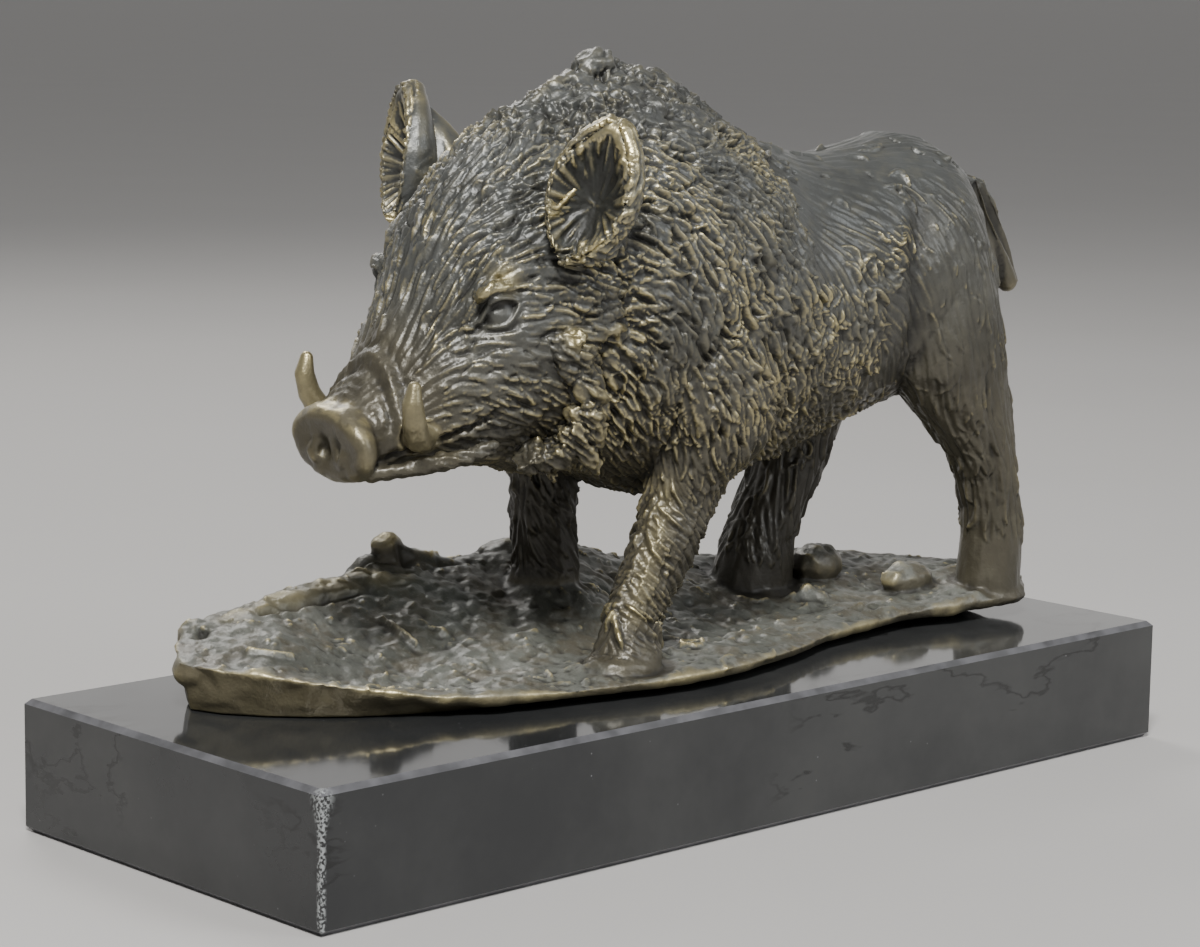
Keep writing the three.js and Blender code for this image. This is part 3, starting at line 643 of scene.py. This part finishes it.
def laid(height, where, spacing, length, width, rise, stray=0.35, bend=0.02, hairs=1,
         rootward=0.3):
    """
    Lays strokes of the modelling tool over the surface wherever `where` is above a random draw,
    one to each `spacing` square millimetres. Each starts flush and stands up at its far end, and
    cuts a little into the strokes under it.
    """
    chance = where * FINE * FINE / spacing
    pick = np.flatnonzero(rng.random(len(skin.at)) < chance)
    pick = pick[np.argsort(-(flow[pick] * skin.at[pick]).sum(1) + rng.normal(0, 3, len(pick)))]
    turn = rng.normal(0, stray, len(pick))[:, None]
    ways = flow[pick] * np.cos(turn) + np.cross(normal[pick], flow[pick]) * np.sin(turn)
    sides = np.cross(normal[pick], ways)
    sizes = rng.uniform(0.65, 1.35, (len(pick), 3))
    bends = rng.normal(0, bend, len(pick))
    phase = rng.uniform(0, 6.28, len(pick))
    for k, way, side, (long, wide, high), bow, ph in zip(pick, ways, sides, sizes, bends, phase):
        l, w = length * long, width * wide
        about = near(skin.at[k], 0.6 * l)
        off = skin.at[about] - skin.at[k]
        a = off @ way / l + 0.5
        b = off @ side - bow * l * l * (a - 0.5) ** 2 * 4
        taper = np.clip(np.sin(np.pi * np.clip(a, 0, 1) ** 1.15), 0, 1) ** 0.8
        edge = b / (0.5 * w * (0.12 + taper))
        cross = np.clip(1 - np.abs(edge), 0, 1)
        along = (rootward + (1 - rootward) * a) * np.clip((1 - a) / 0.12, 0, 1)
        along *= np.clip(a / 0.15, 0, 1)
        lift = rise * high * along * np.sin(0.5 * np.pi * cross)
        if hairs > 1:
            lift *= 0.72 + 0.28 * np.cos(edge * np.pi * hairs * 0.5 + ph)
        lift *= normal[about] @ normal[k] > 0.3
        under = height[about] * (1 - 0.55 * np.clip(4 * cross * along, 0, 1))
        height[about] = np.maximum(under, lift)


tufted = step(lumpy(skin.at, 12.0, 91), -0.1, 0.25)
forehead = furry * head * (1 - muzzle) * (1 - ear)
sparse = 0.25 + 0.75 * step(x, -70, -56)
coat = np.zeros(len(x))
laid(coat, forehead * sparse, 30.0, 12.0, 3.4, 0.75, stray=0.2, hairs=3)
laid(coat, forehead * sparse, 28.0, 8.0, 1.5, 0.7, stray=0.28)
laid(coat, furry * head * muzzle, 12.0, 3.0, 1.0, 0.2, stray=0.3)
brush = furry * mane * (1 - crest) * (0.35 + 0.65 * tufted) * (1 - 0.7 * ruff)
laid(coat, brush, 34.0, 15.0, 6.5, 1.9, stray=0.2, bend=0.02, hairs=5)
laid(coat, brush, 17.0, 11.0, 2.8, 1.7, stray=0.25, bend=0.03, hairs=2)
laid(coat, brush, 22.0, 7.0, 1.5, 1.3, stray=0.4, bend=0.05)
laid(coat, furry * crest, 26.0, 6.5, 3.2, 1.1, stray=0.7, bend=0.05)
laid(coat, furry * crest, 26.0, 3.6, 1.6, 0.8, stray=1.0, bend=0.07)
curls = furry * flank * tufted * (0.25 + 0.75 * step(z - 0.2 * x, 118, 104))
laid(coat, curls, 16.0, 11.0, 4.4, 1.7, stray=0.3, bend=0.04, hairs=4)
laid(coat, curls, 16.0, 6.5, 1.7, 1.4, stray=0.6, bend=0.08)
laid(coat, furry * back, 150.0, 6.0, 2.6, 1.1, stray=0.5, bend=0.06)
laid(coat, furry * rump, 55.0, 9.0, 1.5, 0.55, stray=0.15, bend=0.02)
laid(coat, furry * near_fore * step(z, 42, 47), 14.0, 13.0, 1.9, 1.35, stray=0.07, bend=0.01)
laid(coat, furry * other_legs, 24.0, 9.0, 2.0, 0.75, stray=0.2)
cheek = head * (1 - step(upright, 100, 110)) * step(x, -60, -50)
laid(coat, furry * cheek, 14.0, 10.0, 2.8, 1.2, stray=0.15, bend=0.015, hairs=2)

# hollows cut with the tip of the tool in the rough crest, the mane, the forehead and here and there
# on the back
cuts = np.zeros(len(x))
laid(cuts, furry * crest, 20.0, 4.4, 2.0, 1.3, stray=1.2, bend=0.1, rootward=0.8)
laid(cuts, furry * mane * (1 - crest), 24.0, 8.0, 1.5, 1.2, stray=0.25, rootward=0.8)
laid(cuts, forehead * sparse, 22.0, 9.0, 1.2, 0.8, stray=0.15, rootward=0.8)
laid(cuts, furry * back, 160.0, 3.6, 1.9, 0.9, stray=0.9, bend=0.1, rootward=0.8)
coat -= cuts
coat *= (1 - eyes) * (1 - ear) * (1 - tusk) * (1 - disc) * (1 - earth)
lock = np.zeros(len(x))  # the lock that hangs under each jaw
for side in (1, -1):
    lock_gap = np.linalg.norm(skin.at - leaning((-43, 17, 79), side), axis=1)
    lock = np.maximum(lock, soft(lock_gap, 9.0))
coat *= 1 - 0.75 * lock

lip = np.zeros(len(x))
for side in (1, -1):
    lip_gap = to_line(skin.at, [leaning(p, side) for p in LOWER_LIP])[0]
    lip = np.maximum(lip, 1 - step(lip_gap, 2.5, 5))

# combed hairs: chance variation drawn out along the way the coat lies
combed = np.zeros(len(x))
for k in range(-8, 9):
    along_hair = skin.at + flow * (0.65 * k)
    share = math.cos(k * math.pi / 18)
    combed += share * (lumpy(along_hair, 0.9, 21) + 0.7 * lumpy(along_hair, 0.62, 22))
combed -= skin.blur(combed, 1.6)
combed /= np.sqrt(skin.blur(combed ** 2, 4.0)) + 1e-6
combed = np.tanh(0.9 * combed)
depth = 0.34 * head + 0.36 * mane + 0.28 * flank + 0.13 * back + 0.2 * rump + 0.2 * near_fore
depth += 0.26 * other_legs - 0.24 * muzzle - 0.2 * crest + 0.2 * ruff + 0.15 * lock
bowl = ear * from_cup.any(1) * (1 - 0.6 * step(cup, 0.5, 0.9))
depth = ear * (0.03 + 0.42 * bowl) + (1 - ear) * np.clip(depth, 0.04, 0.42)
hairs = combed * depth * (1 - earth) * np.clip(furry + ear + 0.25 * tail + 0.2 * hoof, 0, 1)
hairs += lip * 0.3 * lumpy(skin.at, 1.6, 65)

# ---- the ground
soil = np.flatnonzero(earth > 0)
spots = skin.at[soil]
wall = 1 - step(normal[:, 2], 0.2, 0.55)
edge = np.clip(skin.blur(wall, 3.0) * 1.6, 0, 1) * earth
clods = np.zeros(len(x))
clods[soil] = 1.1 * lumpy(spots, 15, 3) + 0.6 * np.abs(lumpy(spots, 5, 11))
clods[soil] += 0.4 * lumpy(spots, 2.4, 23)
clods[soil] += 0.26 * lumpy(spots, 1.2, 31)
clods *= earth * (1 - 0.7 * edge) * step(z, 31, 33.5)
edge_waves = (0.6 * lumpy(spots, 8, 41) + 0.2 * lumpy(spots, 3, 47)) * edge[soil]
clods[soil] += edge_waves * step(z[soil], 31, 33)
ON_THE_GROUND = [  # twigs, roots and furrows: their line, half width and height
    ([(-60.5, 19, 44), (-60, 13, 41.5), (-58.5, 7, 39)], 0.8, 1.5),
    ([(-102, 15, 42.6), (-98, 11.5, 41.5), (-92.5, 8, 40.3)], 0.8, 1.3),
    ([(57, 7.5, 41), (62, 3, 38.5), (67, -2.5, 36)], 1.5, 1.5),
    ([(55, 3, 39), (61, 1.5, 37.5), (69, 3, 37.5)], 1.2, 1.2),
    ([(54, 8, 40), (60, 7, 39.5), (68, 8.5, 39)], 1.1, 1.1),
    ([(-90, 27, 46), (-72, 27, 48), (-58, 26.5, 49)], 1.0, -1.1),
    ([(-105, 27, 43), (-101, 30.5, 44.5)], 1.3, -1.4),
    ([(-76, 2, 37), (-68, -3, 36), (-58, -2, 36.5)], 1.2, 0.9),
    ([(-86, 16, 42), (-79, 12, 40), (-70, 14, 41)], 1.0, 0.8),
    ([(18, -14, 35), (26, -18, 34.8), (36, -14, 35)], 1.4, 0.9),
]
litter = np.zeros(len(x))
for line, width, rise in ON_THE_GROUND:
    trail(litter, line, width, rise, fade=0.1, sides=(1,))
trail(litter, [(-96, 31, 46), (-72, 31.5, 49.7), (-58, 30.5, 50.5), (-42, 30, 51.2)], 5.0, 1.5,
      fade=0.35, sides=(1,))
ring_gap = np.linalg.norm((skin.at - snap((1.6, -19.6, 35.6))[0]), axis=1)
litter += 1.4 * soft(ring_gap - 2.4, 0.8) - 1.2 * soft(ring_gap, 1.4)
strewn = np.zeros(len(x))
along_x = flat_way(np.tile((0.9, 0.35, 0.0), (len(x), 1)), normal)
flow = np.where(earth[:, None] > 0.3, along_x, flow)
laid(strewn, earth * (1 - edge) * (1 - wall), 220, 8.0, 2.2, 0.9, stray=0.6, bend=0.05)
laid(strewn, earth * (1 - edge) * (1 - wall), 70, 2.6, 1.7, 0.5, stray=1.5, bend=0.1)
litter = (litter + strewn) * earth

relief = coat + hairs + clods + litter
relief = 0.8 * relief + 0.2 * skin.mean(relief)
skin.at += normal * relief[:, None]
UNDERSIDE = 30.35  # of the ground, just above the marble
skin.at[:, 2] = np.maximum(skin.at[:, 2], UNDERSIDE)

# ---- the bronze's wear and painted shade: gold where the metal is rubbed, dark where patina and
# wax sit in the recesses and painted shade in the deeper hollows, warm where the patina is browner;
# painted shade with some darker patina, green and soil colour what lies under them
normal = skin.normals()
fine_mean = skin.blur(skin.at, 0.8)
broad_mean = skin.blur(fine_mean, 3.0)
sharp = ((skin.at - fine_mean) * normal).sum(1)
proud = ((fine_mean - broad_mean) * normal).sum(1)
rubbed = step(sharp + 0.05 * (flank + mane), 0.1, 0.32) * 0.75 + step(proud, 0.35, 0.9) * 0.3
# dark in the recesses: patina and wax in fine grooves, painted shade in broader hollows and holes
recess_patina_and_shade = 0.9 * nostrils + step(-sharp, 0.03, 0.2) * 0.7 + step(-proud, 0.05, 0.5) * 0.7 + 0.9 * cup
recess_patina_and_shade += 0.5 * near_fore * step(-sharp, 0.0, 0.12)
snout = disc * (rim < 1.3)
# the far legs get less gold, part of the painted shade on them
bright = (0.5 + 0.15 * snout + 0.4 * tusk + 0.3 * ear + 0.1 * near_fore + 0.15 * cheek
          + 0.25 * flank + 0.1 * mane - 0.48 * crest - 0.25 * back - 0.1 * rump
          - 0.4 * other_legs * step(y, 0, 8) * (1 - earth) + 0.3 * earth
          + 0.6 * edge * (1 - step(x, 60, 110)))
handled = np.clip(0.8 + 1.3 * lumpy(skin.at, 9.0, 71), 0.15, 1.6)
bright *= (1 - 0.9 * eyes) * (1 - 0.8 * lip) * (1 - 0.45 * ruff) * handled
front_wall = earth * wall * (1 - step(x, -60, 10))
gold = rubbed * np.clip(bright, 0, 1.3) + 0.2 * tusk + 0.05 * snout
gold += 0.2 * bowl * (1 - step(cup, 0.15, 0.5)) * step(combed, -0.4, 0.6)
gold += 0.35 * snout * step(normal[:, 2], 0.2, 0.7) * step(lumpy(skin.at, 1.5, 82), -0.3, 0.4)
gold += 0.1 * front_wall
shin_gap = to_line(skin.at, [(-13, -24, 74), (-19, -26, 60), (-25, -28, 48)])[0]
shin = near_fore * soft(shin_gap, 3.0)
brow_gap = np.linalg.norm(skin.at - leaning((-57.9, 19.9, 125.6), -1), axis=1)
knob_gap = np.linalg.norm(skin.at - leaning((-44.5, 28.5, 113.6), -1), axis=1)
gold += 0.45 * soft(brow_gap, 2.6) + 0.75 * soft(knob_gap, 2.2) + 0.2 * shin
bark = [(-92, 31.5, 48), (-72, 31.5, 50.7), (-58, 30.5, 51.5), (-46, 30, 52)]
bark_gap = to_line(skin.at, bark)[0]
gold += 0.25 * soft(bark_gap, 4.0) * earth * step(lumpy(skin.at, 3, 81), -0.9, 0.5)
gold *= 1 - 0.9 * part["stump"] * (1 - step(z, 56, 60))
warm = np.clip(1 - step(z, 66, 140) + 0.8 * leather + 0.8 * snout + 0.2 * rump
               + 0.6 * tusk + 0.5 * tail + 0.6 * wall * earth
               - 0.55 * earth + soft(bark_gap, 4.5), 0, 1)
crease = to_line(skin.at, [(73, -24, 134), (69, -27, 126), (68, -28.5, 117), (69.5, -27.5, 107),
                           (70, -23.5, 98), (73, -16.5, 90)])[0]
# painted shade on the far legs and the ground behind the near foreleg; darker patina on the crest
shade = other_legs * step(y, -4, 6) * (1 - 0.6 * earth) + 0.25 * crest
# painted shade in the thigh crease; darker patina on the stump
shade += 0.7 * soft(crease, 4.0) + 0.4 * part["stump"]
# painted shade in ear bowls and nostrils; snout disc, ground front wall and leather made darker
shade += 0.5 * cup + 1.2 * nostrils + 0.85 * snout * front + 0.3 * front_wall + 0.25 * leather
green = cup * (y < 0) + 0.5 * earth * (1 - edge)
green += 2.5 * soft(np.linalg.norm(skin.at - (-48, 20, 46), axis=1), 9)

TRIANGLES = 740_000  # in the whole casting


def paint(name, *channels):
    colours = np.stack([*[np.clip(c, 0, 1) for c in channels], np.ones(len(x))], 1)
    layer = skin.object.data.color_attributes.new(name, "FLOAT_COLOR", "POINT")
    layer.data.foreach_set("color", colours.astype(np.float32).ravel())


skin.write()
# colour attributes: gold, dark recesses with painted shade, warm; painted shade, green, soil
paint("finish", gold, recess_patina_and_shade, warm)
paint("tint", shade, green, step(earth, 0.4, 0.6))
thin = skin.object.modifiers.new("thin out", "DECIMATE")
thin.ratio = min(1.0, TRIANGLES / (2 * len(skin.object.data.polygons)))
skin.bake()


# the bronze's patina and rubbed gold, darkened by painted shade in recesses, creases and far legs
def bronze_patina_and_shade():
    material, shader, place = new_material("patinated bronze with painted shade")
    worn_and_shaded = place.node("Attribute", {"attribute_name": "finish"}, out="Color")
    tint = place.node("Attribute", {"attribute_name": "tint"}, out="Color")
    gold, recess_patina_and_shade, warm = worn_and_shaded.parts()
    shade, green, soil = tint.parts()
    patchy = place.grain(45.0, detail=5.0, rough=0.6)
    mottle = place.grain(260.0, detail=4.0, rough=0.65)
    speck = place.grain(1400.0, detail=2.0)
    cool = patchy.step(0.3, 0.7).mix((0.052, 0.054, 0.050), (0.088, 0.092, 0.088))
    brown = patchy.step(0.3, 0.7).mix((0.050, 0.044, 0.029), (0.090, 0.080, 0.054))
    metal = warm.mix(cool, brown)
    metal = (mottle.step(0.45, 0.75) * 0.3).mix(metal, (0.15, 0.14, 0.10))
    stain = place.grain(85.0, detail=6.0, rough=0.7)
    ash = patchy.step(0.3, 0.7).mix((0.12, 0.122, 0.108), (0.26, 0.262, 0.235))
    ash = (stain.step(0.46, 0.6) * 0.85).mix(ash, (0.105, 0.076, 0.040))
    ash = (mottle.step(0.5, 0.66) * 0.75).mix(ash, (0.022, 0.020, 0.016))
    ash = (speck.step(0.6, 0.75) * 0.5).mix(ash, (0.42, 0.41, 0.34))
    metal = (soil * (1.0 - warm) * 0.9).mix(metal, ash)
    metal = (green * 0.2).clip().mix(metal, (0.085, 0.13, 0.105))
    # painted shade, with some darker patina, darkens the metal
    metal = (shade * 0.6).mix(metal, (0.016, 0.014, 0.012))
    # recesses go dark: patina and wax, and painted shade
    shut = (recess_patina_and_shade * (0.8 + 0.6 * (mottle - 0.5))).clip()
    metal = shut.mix(metal, (0.010, 0.009, 0.007))
    shine = (gold * 1.1 + (mottle - 0.5) * 1.0 * gold + (speck - 0.5) * 0.6 * gold).clip()
    metal = shine.mix(metal, (0.66, 0.57, 0.31))
    rough = 0.42 - 0.08 * shine + 0.3 * shut + 0.16 * (mottle - 0.5) + 0.04 * soil
    grainy = place.node("Bump", Strength=0.6, Distance=0.0004,
                        Height=mottle * 0.6 + speck * 0.4)
    bare_metal = (0.4 - 0.2 * soil + 0.9 * shine).clip()
    feed(shader, Base_Color=metal, Metallic=bare_metal, Roughness=rough, Normal=grainy,
         Coat_Weight=0.25 * (1.0 - soil * 0.6), Coat_Roughness=0.3)
    return material


HEAD_ENDS, SHOULDERS_END, BARREL_ENDS = -36, -1, 42  # where the casting's sections meet


def sections():
    """The casting's sections, each a mesh of its own that meets its neighbours edge to edge."""
    whole = skin.object.data
    whole.calc_loop_triangles()
    corners = np.empty(len(whole.loop_triangles) * 3, np.int32)
    whole.loop_triangles.foreach_get("vertices", corners)
    corners = corners.reshape(-1, 3)
    at = skin.read(whole.vertices, "co").reshape(-1, 3)
    outs = skin.read(whole.vertices, "normal").reshape(-1, 3)
    layers = {}
    for name in ("finish", "tint"):
        layers[name] = np.empty(len(at) * 4, np.float32)
        whole.color_attributes[name].data.foreach_get("color", layers[name])
        layers[name] = layers[name].reshape(-1, 4)
    soil = layers["tint"][corners, 2].mean(1) > 0.5
    middle = at[corners, 0].mean(1) / MM
    cuts = {
        "boar_head": ~soil & (middle < HEAD_ENDS),
        "boar_shoulders": ~soil & (middle >= HEAD_ENDS) & (middle < SHOULDERS_END),
        "boar_barrel": ~soil & (middle >= SHOULDERS_END) & (middle < BARREL_ENDS),
        "boar_hindquarters": ~soil & (middle >= BARREL_ENDS),
        "cast_ground": soil,
    }
    finish = bronze_patina_and_shade()
    for name, chosen in cuts.items():
        used, own = np.unique(corners[chosen], return_inverse=True)
        mesh = bpy.data.meshes.new(name)
        mesh.vertices.add(len(used))
        mesh.vertices.foreach_set("co", at[used].ravel())
        count = int(chosen.sum())
        mesh.loops.add(3 * count)
        mesh.loops.foreach_set("vertex_index", own.astype(np.int32).ravel())
        mesh.polygons.add(count)
        mesh.polygons.foreach_set("loop_start", np.arange(0, 3 * count, 3, dtype=np.int32))
        mesh.update(calc_edges=True)
        for layer, colours in layers.items():
            made = mesh.color_attributes.new(layer, "FLOAT_COLOR", "POINT")
            made.data.foreach_set("color", colours[used].ravel())
        mesh.shade_smooth()
        mesh.normals_split_custom_set_from_vertices(outs[used].astype(float))
        mesh.materials.append(finish)
        piece = bpy.data.objects.new(name, mesh)
        bpy.context.scene.collection.objects.link(piece)
        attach(piece, "root")
        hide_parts("bronze_boar")
    bpy.data.objects.remove(skin.object)


sections()


# ------------------------------------------------------------ floor, light and camera
# A pale flat studio floor, a room light brighter low down behind the boar, one large soft light
# above the boar's head, a weaker one from the tail side, another from behind, and a camera at the
# boar's left front.

def studio():
    material, shader, place = new_material("pale studio paper")
    tone = place.grain(6.0, detail=3.0)
    feed(shader, Base_Color=tone.mix((0.41, 0.40, 0.39), (0.44, 0.43, 0.42)),
         Roughness=0.75 + 0.1 * tone)
    bpy.ops.mesh.primitive_plane_add(size=80.0, location=(0, 0, 0))
    floor = bpy.context.object
    floor.name = "studio_floor"
    floor.data.materials.append(material)

    def lamp(name, place, size, power, colour):
        data = bpy.data.lights.new(name, "AREA")
        data.shape, data.size, data.energy, data.color = "DISK", size, power, colour
        made = bpy.data.objects.new(name, data)
        made.location = place
        made.rotation_mode = "QUATERNION"
        made.rotation_quaternion = (Vector((0, 0, 0.09)) - made.location).to_track_quat("-Z", "Y")
        bpy.context.scene.collection.objects.link(made)

    lamp("key", (-0.62, -0.6, 1.15), 0.32, 27.5, (1.0, 0.99, 0.97))
    lamp("fill", (0.5, -1.0, 0.7), 0.6, 5.0, (0.93, 0.96, 1.0))
    lamp("back", (0.3, 0.9, 0.9), 0.5, 6.0, (1.0, 0.98, 0.95))
    world = bpy.data.worlds.new("soft room")
    bpy.context.scene.world = world
    world.use_nodes = True
    around = Sock(world.node_tree, None).node("TexCoord", out="Generated")
    wall_side = around.node("VectorMath", {"operation": "DOT_PRODUCT"}, out="Value", i0=around,
                            i1=(0.68, 0.72, 0.0))
    low = 1.0 - around.parts()[2].step(0.15, 0.5)
    glow = (wall_side.step(0.1, 0.8) * low).mix((0.30, 0.30, 0.30), (0.95, 0.93, 0.91))
    world.node_tree.links.new(glow.link, world.node_tree.nodes["Background"].inputs["Color"])


def camera():
    """Stands at the boar's left front, a little above the crest, and is tipped by a degree."""
    look = Vector((0.678073, 0.718762, -0.153616)).normalized()
    up = Vector((0.093868, 0.122606, 0.988006))
    right = look.cross(up).normalized()
    up = right.cross(look)
    data = bpy.data.cameras.new("camera")
    data.lens, data.sensor_width = 95.65, 36.0
    made = bpy.data.objects.new("camera", data)
    turn = Matrix((right, up, -look)).transposed().to_4x4()
    made.matrix_world = Matrix.Translation((-0.511889, -0.531875, 0.188512)) @ turn
    bpy.context.scene.collection.objects.link(made)
    bpy.context.scene.camera = made


studio()
camera()
